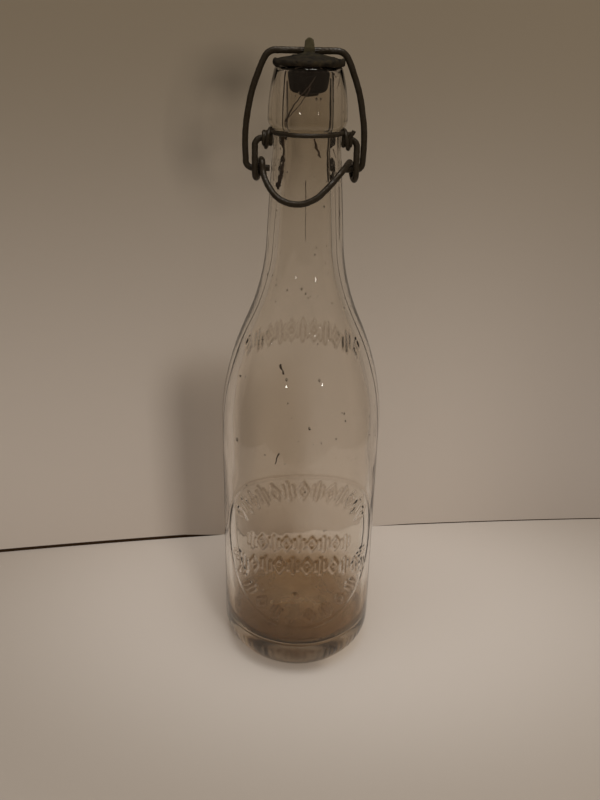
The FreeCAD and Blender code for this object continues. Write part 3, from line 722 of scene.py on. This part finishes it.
# Rust and grime that dried hard on the glass: dark brown, dull, redder where it is thin.
dried_rust, tree = new_material("dried_rust_and_grime")
place = add_node(tree, "TexCoord").outputs["Object"]
CRUST = 0.8
crust = add_node(tree, "TexNoise", {"Vector": place, "Scale": 1 / (CRUST * MM), "Detail": 3.0})
rust_tone = add_node(tree, "Mix",
                     {"Factor": crust.outputs["Fac"], 6: linear("#0f0a06"), 7: linear("#34230f")}, **RGBA)
rust_bump = add_node(tree, "Bump", {"Height": crust.outputs["Fac"], "Strength": 0.6, "Distance": 0.1 * MM})
crust_skin = add_node(tree, "BsdfPrincipled",
                      {"Base Color": rust_tone.outputs[2], "Roughness": 0.85,
                       "Normal": rust_bump.outputs["Normal"]})
add_node(tree, "OutputMaterial", {"Surface": crust_skin.outputs[0]})
glass_dirt.data.materials.append(dried_rust)
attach(glass_dirt, "glass")

# The neck wire, the lever and the bail.
# Bright iron wire bent by hand over a jig, long since oxidised. The neck wire grips the glass under the
# blob, the lever turns in its coiled eyes, and the bail hangs in the lever's loops.
CORRODED_LEVEL = 0.6


def corroded(node, voxel, lump, depth, grain, pit):
    """Gives a CAD piece an even skin, then broad lumps and fine pits. Sizes are in millimetres."""
    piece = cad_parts[node]
    skin = piece.modifiers.new("even_skin", "REMESH")
    skin.mode = "VOXEL"
    skin.voxel_size = voxel * MM
    skin.use_smooth_shade = True
    for name, size, strength in (("lumps", lump, depth), ("pits", grain, pit)):
        pattern = bpy.data.textures.new(node + "_" + name, "CLOUDS")
        pattern.noise_scale = size * MM
        pattern.noise_depth = 2
        wear = piece.modifiers.new(name, "DISPLACE")
        wear.texture = pattern
        wear.texture_coords = "LOCAL"
        wear.strength = strength * MM
        wear.mid_level = CORRODED_LEVEL
    return piece


def dressed(piece, material):
    """Puts the material in the piece's own slots."""
    if not piece.material_slots:
        piece.data.materials.append(material)
    for slot in piece.material_slots:
        slot.material = material


# Drawn iron wire gone dark: a thin brown-black scale that is half metal to the eye, duller and redder in
# small specks of rust.
oxidised_wire, tree = new_material("oxidised_iron_wire")
place = add_node(tree, "TexCoord").outputs["Object"]
SCALE_PATCH = 3.0
patch = add_node(tree, "TexNoise",
                 {"Vector": place, "Scale": 1 / (SCALE_PATCH * MM), "Detail": 5.0, "Roughness": 0.6})
skin_tone = add_node(tree, "Mix",
                     {"Factor": patch.outputs["Fac"], 6: linear("#15100a"), 7: linear("#372d1e")}, **RGBA)
SPECK = 0.7
speck = add_node(tree, "TexNoise", {"Vector": place, "Scale": 1 / (SPECK * MM), "Detail": 3.0})
rust_share = add_node(tree, "MapRange",
                      {"Value": speck.outputs["Fac"], "From Min": 0.55, "From Max": 0.72, "To Max": 0.8})
wire_tone = add_node(tree, "Mix",
                     {"Factor": rust_share.outputs["Result"], 6: skin_tone.outputs[2], 7: linear("#1f140b")},
                     **RGBA)
wire_gloss = add_node(tree, "MapRange",
                      {"Value": speck.outputs["Fac"], "From Min": 0.35, "From Max": 0.7,
                       "To Min": 0.3, "To Max": 0.66})
bare_share = add_node(tree, "MapRange",
                      {"Value": patch.outputs["Fac"], "From Min": 0.35, "From Max": 0.7,
                       "To Min": 0.3, "To Max": 0.7})
wire_bump = add_node(tree, "Bump", {"Height": speck.outputs["Fac"], "Strength": 0.5, "Distance": 0.08 * MM})
wire_skin = add_node(tree, "BsdfPrincipled",
                     {"Base Color": wire_tone.outputs[2], "Metallic": bare_share.outputs["Result"],
                      "Roughness": wire_gloss.outputs["Result"], "Normal": wire_bump.outputs["Normal"]})
add_node(tree, "OutputMaterial", {"Surface": wire_skin.outputs[0]})
for node, voxel in (("neck_wire", 0.16), ("lever", 0.2), ("bail", 0.22)):
    dressed(corroded(node, voxel, lump=2.4, depth=0.16, grain=0.6, pit=0.1), oxidised_wire)

# The neck wire's tail crosses over each coiled eye, and its cut end stands up outside the right one.
EYE_HEIGHT = 212.1
EYE_BACK = -0.6
WRAP_REACH = 3.15
WRAP_MIDDLE = 13.4
WRAP_POINTS = 11
WRAP_START = -150
WRAP_STEP = 30
WRAP_DRIFT = 2.6
WIRE_GAUGE = 1.4


def bent_end(name, points):
    """A short run of the neck wire through given points in millimetres, with cut ends."""
    curve = bpy.data.curves.new(name, "CURVE")
    curve.dimensions = "3D"
    curve.bevel_depth = WIRE_GAUGE / 2 * MM
    curve.bevel_resolution = 5
    curve.resolution_u = 10
    curve.use_fill_caps = True
    line = curve.splines.new("NURBS")
    line.points.add(len(points) - 1)
    for spot, place in zip(line.points, points):
        spot.co = (*(Vector(place) * MM), 1.0)
    line.order_u = 3
    line.use_endpoint_u = True
    end = bpy.data.objects.new(name, curve)
    bpy.context.scene.collection.objects.link(end)
    curve.materials.append(oxidised_wire)
    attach(end, "glass")


for side, name in ((-1, "left_wrap"), (1, "right_wrap")):
    wrap = []
    for step in range(WRAP_POINTS):
        turn = math.radians(WRAP_START + step * WRAP_STEP)
        drift = (step / (WRAP_POINTS - 1) - 0.5) * WRAP_DRIFT
        wrap.append((side * (WRAP_MIDDLE - drift), EYE_BACK - WRAP_REACH * math.cos(turn),
                     EYE_HEIGHT + WRAP_REACH * math.sin(turn)))
    bent_end(name, wrap)
bent_end("cut_tail", [(14.0, -2.6, 213.0), (14.8, -2.9, 213.9), (15.4, -2.8, 214.3), (15.8, -2.6, 215.2)])

# The cap of the stopper.
# White metal, with the disc, the post and the bail's hole cast in one. It has weathered dark olive, paler up
# the post. Its thin rim has corroded ragged, and it is coloured nearly black towards the rim: corrosion, and
# painted shade along the rim's lower edge.
DARK_RIM_END = 0.5
DOME_FULL = 5.0
POST_START = 4.0
POST_FULL = 6.0
weathered_metal, tree = new_material("weathered_cast_white_metal")
place = add_node(tree, "TexCoord").outputs["Object"]
BLOOM = 2.2
bloom = add_node(tree, "TexNoise",
                 {"Vector": place, "Scale": 1 / (BLOOM * MM), "Detail": 6.0, "Roughness": 0.65})
height = add_node(tree, "SeparateXYZ", {"Vector": place}).outputs["Z"]
# Darker towards the rim: corrosion, and painted shade along its lower edge.
rim_share = add_node(tree, "MapRange",
                     {"Value": height, "From Min": (BOTTLE_HEIGHT + DARK_RIM_END) * MM,
                      "From Max": (BOTTLE_HEIGHT + DOME_FULL) * MM})
mottle = add_node(tree, "MapRange", {"Value": bloom.outputs["Fac"], "From Min": 0.36, "From Max": 0.64})
dome_tone = add_node(tree, "Mix",
                     {"Factor": mottle.outputs["Result"], 6: linear("#110d07"), 7: linear("#302a1a")},
                     **RGBA)
rim_tone = add_node(tree, "Mix",
                    {"Factor": mottle.outputs["Result"], 6: linear("#100b06"), 7: linear("#281f12")},
                    **RGBA)
disc_tone = add_node(tree, "Mix",
                     {"Factor": rim_share.outputs["Result"], 6: rim_tone.outputs[2], 7: dome_tone.outputs[2]},
                     **RGBA)
post_share = add_node(tree, "MapRange",
                      {"Value": height, "From Min": (BOTTLE_HEIGHT + POST_START) * MM,
                       "From Max": (BOTTLE_HEIGHT + POST_FULL) * MM, "To Max": 0.7})
cap_tone = add_node(tree, "Mix",
                    {"Factor": post_share.outputs["Result"], 6: disc_tone.outputs[2], 7: linear("#463e2a")},
                    **RGBA)
cap_gloss = add_node(tree, "MapRange",
                     {"Value": bloom.outputs["Fac"], "From Min": 0.3, "From Max": 0.7,
                      "To Min": 0.72, "To Max": 0.95})
GRIT = 0.5
grit = add_node(tree, "TexNoise", {"Vector": place, "Scale": 1 / (GRIT * MM), "Detail": 3.0})
cap_bump = add_node(tree, "Bump", {"Height": grit.outputs["Fac"], "Strength": 0.6, "Distance": 0.12 * MM})
cap_skin = add_node(tree, "BsdfPrincipled",
                    {"Base Color": cap_tone.outputs[2], "Metallic": 0.2, "Specular IOR Level": 0.25,
                     "Roughness": cap_gloss.outputs["Result"], "Normal": cap_bump.outputs["Normal"]})
add_node(tree, "OutputMaterial", {"Surface": cap_skin.outputs[0]})
dressed(corroded("stopper_cap", 0.22, lump=3.2, depth=0.7, grain=0.9, pit=0.22), weathered_metal)

# The rim has swollen and curled in places, most of all at the two sides.
HEM_TURNS = 110
HEM_SIDES = 9
HEM_REACH = 11.1
HEM_WIDE = 0.55
HEM_TALL = 0.85
HEM_LEVEL = 1.15
RIGHT_CURL = 62
LEFT_CURL = -78
mesh = bmesh.new()
rings = []
for step in range(HEM_TURNS):
    turn = 2 * math.pi * step / HEM_TURNS
    degrees = (math.degrees(turn) + 180) % 360 - 180
    right_curl = math.exp(-((degrees - RIGHT_CURL) / 26) ** 2)
    left_curl = math.exp(-((degrees - LEFT_CURL) / 20) ** 2)
    rag = noise.noise(Vector((math.sin(turn) * 4.5, math.cos(turn) * 4.5, 2.0)))
    wide = HEM_WIDE + 0.25 * right_curl + 0.25 * left_curl + 0.2 * rag
    tall = HEM_TALL + 0.45 * right_curl + 0.2 * left_curl + 0.4 * rag
    reach = HEM_REACH + 0.4 * right_curl + 0.1 * left_curl
    level = BOTTLE_HEIGHT + HEM_LEVEL + 0.1 * right_curl - 0.15 * left_curl + 0.35 * rag
    ring = []
    for side in range(HEM_SIDES):
        spin = 2 * math.pi * side / HEM_SIDES
        lump = 1 + 0.25 * noise.noise(Vector((turn * 9, spin * 1.5, 5.0)))
        far = reach + wide * lump * math.cos(spin)
        ring.append(mesh.verts.new((far * math.sin(turn) * MM, -far * math.cos(turn) * MM,
                                    (level + tall * lump * math.sin(spin)) * MM)))
    rings.append(ring)
join_rings(mesh, rings + rings[:1], inward=True)
bmesh.ops.recalc_face_normals(mesh, faces=mesh.faces)
curled_hem = make_piece("curled_hem", mesh)
curled_hem.data.materials.append(weathered_metal)
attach(curled_hem, "stopper")

# The rubber plug.
# Moulded black rubber, perished and dusty, held on the cap's stem by the button. It tapers, so that the
# bail wedges it in the lip.
perished_rubber, tree = new_material("perished_black_rubber")
place = add_node(tree, "TexCoord").outputs["Object"]
CRAZE = 0.9
craze = add_node(tree, "TexNoise", {"Vector": place, "Scale": 1 / (CRAZE * MM), "Detail": 5.0})
rubber_tone = add_node(tree, "Mix",
                       {"Factor": craze.outputs["Fac"], 6: linear("#060403"), 7: linear("#150f0a")}, **RGBA)
rubber_bump = add_node(tree, "Bump",
                       {"Height": craze.outputs["Fac"], "Strength": 0.5, "Distance": 0.1 * MM})
rubber_skin = add_node(tree, "BsdfPrincipled",
                       {"Base Color": rubber_tone.outputs[2], "Roughness": 0.8, "Specular IOR Level": 0.12,
                        "Normal": rubber_bump.outputs["Normal"]})
add_node(tree, "OutputMaterial", {"Surface": rubber_skin.outputs[0]})
PLUG_RADIUS = 7.4
PLUG_END_RADIUS = 6.6
PLUG_SWELL = 0.06
PLUG_ROUND = 2.0
PLUG_TURNS = 72
PLUG_HOLE = 2.05
PLUG_EDGE = 0.5
PLUG_COLLAR = 3.5
plug_low, plug_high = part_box("rubber_plug")
plug_top = plug_high[2] / MM
plug_end = plug_low[2] / MM
plug_line = [(PLUG_HOLE, plug_top), (PLUG_RADIUS - PLUG_EDGE, plug_top)]
plug_line += arc((PLUG_RADIUS - PLUG_EDGE, plug_top - PLUG_EDGE), PLUG_EDGE, math.pi / 2, 0, 0.2)
plug_line += run(plug_line[-1], (PLUG_RADIUS - 0.2, plug_top - PLUG_COLLAR), 0.5)
plug_line += run(plug_line[-1], (PLUG_END_RADIUS, plug_end + PLUG_ROUND), 0.5)
plug_line += arc((PLUG_END_RADIUS - PLUG_ROUND, plug_end + PLUG_ROUND), PLUG_ROUND, 0, -math.pi / 2, 0.4)
plug_line += run(plug_line[-1], (PLUG_HOLE, plug_end), 0.8)
mesh = bmesh.new()
rings = []
for r, z in plug_line:
    ring = []
    for step in range(PLUG_TURNS):
        turn = 2 * math.pi * step / PLUG_TURNS
        spot = Vector((math.sin(turn), -math.cos(turn), 0))
        swell = 0.0
        if r > PLUG_HOLE + 1:
            swell = PLUG_SWELL * noise.noise(Vector((spot.x * 2.5, spot.y * 2.5, z / 3)))
        ring.append(mesh.verts.new((spot * (r + swell) + Vector((0, 0, z))) * MM))
    rings.append(ring)
for upper, lower in zip(rings, rings[1:] + rings[:1]):
    for step in range(PLUG_TURNS):
        beside = (step + 1) % PLUG_TURNS
        mesh.faces.new([lower[step], lower[beside], upper[beside], upper[step]])
moulded_plug = make_piece("moulded_plug", mesh)
moulded_plug.data.materials.append(perished_rubber)
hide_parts("rubber_plug")
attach(moulded_plug, "stopper")

# The table and the backdrop.
# A pale painted top, and a bowed sheet of card that stands on it behind the bottle, with a dark sheet of
# painted shade in the gap at its foot. The card is one-sided, so that the bottle can be looked at from
# behind.
TABLE_DROP = 0.1
TABLE_SIDE = 230.0
TABLE_FRONT = -210.0
TABLE_BACK = 125.0
mesh = bmesh.new()
corners = [mesh.verts.new((x * MM, y * MM, -TABLE_DROP * MM))
           for x, y in ((-TABLE_SIDE, TABLE_FRONT), (TABLE_SIDE, TABLE_FRONT),
                        (TABLE_SIDE, TABLE_BACK), (-TABLE_SIDE, TABLE_BACK))]
mesh.faces.new(corners)
table_top = make_piece("table_top", mesh)
painted_top, tree = new_material("pale_painted_table")
place = add_node(tree, "TexCoord").outputs["Object"]
# The top is painted lighter round a point behind and right of the bottle, darker further out: a painted pool
# of light.
LIT_MIDDLE = (20 * MM, 25 * MM, 0)
off_middle = add_node(tree, "VectorMath", {0: place, 1: LIT_MIDDLE}, operation="SUBTRACT")
stretched = add_node(tree, "VectorMath",
                     {0: off_middle.outputs["Vector"], 1: (0.9, 1.4, 0)}, operation="MULTIPLY")
away = add_node(tree, "VectorMath", {0: stretched.outputs["Vector"]}, operation="LENGTH")
painted_light_pool = add_node(tree, "MapRange",
                    {"Value": away.outputs["Value"], "From Min": 60 * MM, "From Max": 190 * MM}, **SMOOTH)
top_tone = add_node(tree, "Mix",
                    {"Factor": painted_light_pool.outputs["Result"], 6: linear("#beb4ab"), 7: linear("#9f9489")},
                    **RGBA)
top_skin = add_node(tree, "BsdfDiffuse", {"Color": top_tone.outputs[2]})
add_node(tree, "OutputMaterial", {"Surface": top_skin.outputs[0]})
table_top.data.materials.append(painted_top)

CARD_BACK = 76.8
CARD_SLANT = 0.14
CARD_BOW = -0.0002
CARD_EASE = 230.0
CARD_HALF = 220
CARD_STEP = 20
CARD_HEIGHT = 310.0


def card_foot(x):
    """How far behind the bottle's axis the card stands, bowed in the middle and straight further out."""
    near = max(-CARD_EASE, min(CARD_EASE, x))
    slope = CARD_SLANT + 2 * CARD_BOW * near
    return CARD_BACK + CARD_SLANT * near + CARD_BOW * near ** 2 + slope * (x - near)


def standing_sheet(name, low_at, high_at, ahead):
    """A sheet along the card's line, facing the bottle, between two heights that may change along it."""
    mesh = bmesh.new()
    pairs = []
    for x in range(-CARD_HALF, CARD_HALF + 1, CARD_STEP):
        y = card_foot(x) - ahead
        pairs.append([mesh.verts.new((x * MM, y * MM, z * MM)) for z in (low_at(x), high_at(x))])
    for left, right in zip(pairs, pairs[1:]):
        mesh.faces.new([left[0], right[0], right[1], left[1]])
    return make_piece(name, mesh)


def one_sided(tree, skin):
    """The skin seen from the bottle's side, and nothing from behind."""
    sides = add_node(tree, "NewGeometry")
    nothing = add_node(tree, "BsdfTransparent")
    mix = add_node(tree, "MixShader",
                   {0: sides.outputs["Backfacing"], 1: skin.outputs[0], 2: nothing.outputs[0]})
    add_node(tree, "OutputMaterial", {"Surface": mix.outputs[0]})


back_card = standing_sheet("back_card", lambda x: -TABLE_DROP, lambda x: CARD_HEIGHT, 0.0)
grey_card, tree = new_material("warm_grey_card")
place = add_node(tree, "TexCoord").outputs["Object"]
split = add_node(tree, "SeparateXYZ", {"Vector": place})
# The card is painted darker towards its right end near the foot, and darker upwards: painted fall-off of the
# light.
painted_falloff_across = add_node(tree, "MapRange",
                   {"Value": split.outputs["X"], "From Min": 60 * MM, "From Max": 170 * MM}, **SMOOTH)
foot_tone = add_node(tree, "Mix",
                     {"Factor": painted_falloff_across.outputs["Result"], 6: linear("#a79b90"), 7: linear("#958a80")},
                     **RGBA)
painted_falloff_up = add_node(tree, "MapRange",
                     {"Value": split.outputs["Z"], "From Min": 20 * MM, "From Max": 270 * MM}, **SMOOTH)
card_tone = add_node(tree, "Mix",
                     {"Factor": painted_falloff_up.outputs["Result"], 6: foot_tone.outputs[2], 7: linear("#6f6353")},
                     **RGBA)
card_skin = add_node(tree, "BsdfDiffuse", {"Color": card_tone.outputs[2]})
one_sided(tree, card_skin)
back_card.data.materials.append(grey_card)

# The painted shade in the gap is tallest at the left, a hair at the right, and next to nothing behind the
# bottle.
GAP_LEFT = 1.7
GAP_RIGHT = 0.5
GAP_SHUT = -0.05
GAP_REACH = 50
gap_shade_sheet = standing_sheet(
    "card_foot_shade", lambda x: -TABLE_DROP,
    lambda x: GAP_LEFT if x < -GAP_REACH else GAP_RIGHT if x > GAP_REACH else GAP_SHUT, 0.4)
painted_gap_shade, tree = new_material("painted_shade_gap")
gap_shade_skin = add_node(tree, "BsdfDiffuse", {"Color": linear("#2a1d12")})
one_sided(tree, gap_shade_skin)
gap_shade_sheet.data.materials.append(painted_gap_shade)

# Light and camera.
# A soft lamp at the front right, which lays the bottle's shade on the card to its left, a broad soft light
# overhead, two far bulbs that make the glints, and the dim warm room. The camera looks down at 25 degrees.
def add_lamp(name, place, aim, size, power, in_gloss):
    """A square soft lamp at a place in millimetres, pointed at another. It may show in the gloss or not."""
    data = bpy.data.lights.new(name, "AREA")
    data.shape = "SQUARE"
    data.size = size * MM
    data.energy = power
    data.color = linear("#fffcf7")[:3]
    lamp = bpy.data.objects.new(name, data)
    lamp.location = Vector(place) * MM
    lamp.rotation_euler = (Vector(aim) - Vector(place)).to_track_quat("-Z", "Y").to_euler()
    lamp.visible_glossy = in_gloss
    lamp.visible_transmission = False
    bpy.context.scene.collection.objects.link(lamp)


add_lamp("front_lamp", (370, -850, 330), (0, 0, 100), 190, 4.8, False)
add_lamp("ceiling_light", (60, -250, 1150), (0, 0, 0), 500, 6.0, True)
add_lamp("right_bulb", (470, -780, 230), (0, 0, 130), 24, 0.06, True)
add_lamp("left_bulb", (-350, -820, 230), (0, 0, 130), 24, 0.05, True)

room = bpy.data.worlds.new("dim_room")
bpy.context.scene.world = room
room.use_nodes = True
tree = room.node_tree
tree.nodes.clear()
path = add_node(tree, "LightPath")
fill = add_node(tree, "Background", {"Color": linear("#fffcf7"), "Strength": 0.4})
seen = add_node(tree, "Background", {"Color": linear("#5f564b"), "Strength": 1.0})
mirrored = add_node(tree, "Background", {"Color": linear("#574d42"), "Strength": 1.0})
by_gloss = add_node(tree, "MixShader",
                    {0: path.outputs["Is Glossy Ray"], 1: fill.outputs[0], 2: mirrored.outputs[0]})
through = add_node(tree, "MixShader",
                   {0: path.outputs["Is Transmission Ray"], 1: by_gloss.outputs[0], 2: seen.outputs[0]})
from_matt = add_node(tree, "Math", {0: path.outputs["Diffuse Depth"], 1: 0.5}, operation="GREATER_THAN")
behind = add_node(tree, "MixShader", {0: from_matt.outputs[0], 1: through.outputs[0], 2: fill.outputs[0]})
shown = add_node(tree, "MixShader",
                 {0: path.outputs["Is Camera Ray"], 1: behind.outputs[0], 2: seen.outputs[0]})
add_node(tree, "OutputWorld", {"Surface": shown.outputs[0]})

camera_data = bpy.data.cameras.new("photo_camera")
camera_data.lens = 36.03
camera_data.sensor_width = 36.0
camera_data.clip_start = 0.01
camera = bpy.data.objects.new("photo_camera", camera_data)
CAMERA_PLACE = (-0.46, -286.8, 246.6)
PITCH_DOWN = 24.95
ROLL = 1.29
pitch = Euler((math.radians(90 - PITCH_DOWN), 0, 0)).to_matrix().to_4x4()
tilt = pitch @ Matrix.Rotation(math.radians(ROLL), 4, "Z")
camera.matrix_world = Matrix.Translation(Vector(CAMERA_PLACE) * MM) @ tilt
bpy.context.scene.collection.objects.link(camera)
bpy.context.scene.camera = camera
bpy.context.scene.view_settings.view_transform = "Standard"
